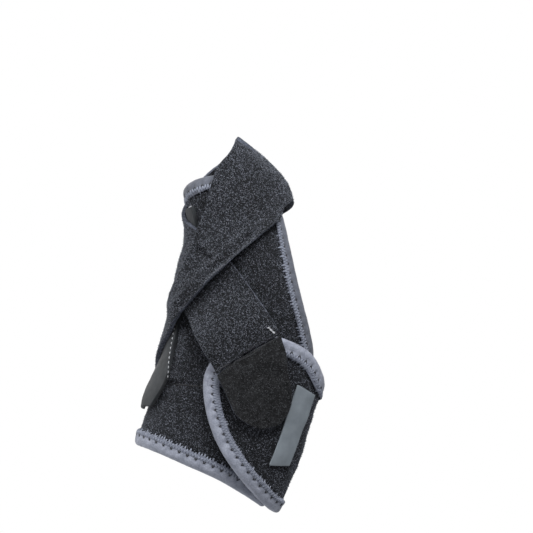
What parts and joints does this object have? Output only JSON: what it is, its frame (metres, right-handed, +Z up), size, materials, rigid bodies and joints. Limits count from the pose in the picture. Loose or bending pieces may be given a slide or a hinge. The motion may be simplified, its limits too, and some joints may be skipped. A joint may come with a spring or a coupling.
{
  "type": "thumb spica splint",
  "caption": "Soft wrap splint for the left wrist and thumb, with a closing flap, bound edges and a strap that goes round the base of the thumb.",
  "frame": {"origin": "middle of the opening for the forearm, at the lower hem", "axes": "+Z up the forearm towards the hand, +X to the little-finger side, -Y to the palm side"},
  "size_m": [0.0908, 0.0582, 0.1427],
  "materials": {
    "loop_laminate": "brushed loop pile on foam, charcoal with pale flecks",
    "binding_tape": "knitted grey edge tape",
    "pocket_cloth": "smooth knit, charcoal",
    "label_cloth": "flat woven patch, grey, bare",
    "tab_cloth": "matt hook tab, near black"
  },
  "bodies": {
    "root": {"wrist_panel": "loop_laminate", "hem_binding": "binding_tape", "palm_binding": "binding_tape", "thumb_binding": "binding_tape", "back_binding": "binding_tape", "stay_pocket": "pocket_cloth", "closing_flap": "loop_laminate", "flap_binding": "binding_tape", "flap_label": "label_cloth", "strap_tab": "tab_cloth", "thumb_strap": "loop_laminate"}
  },
  "joints": []
}
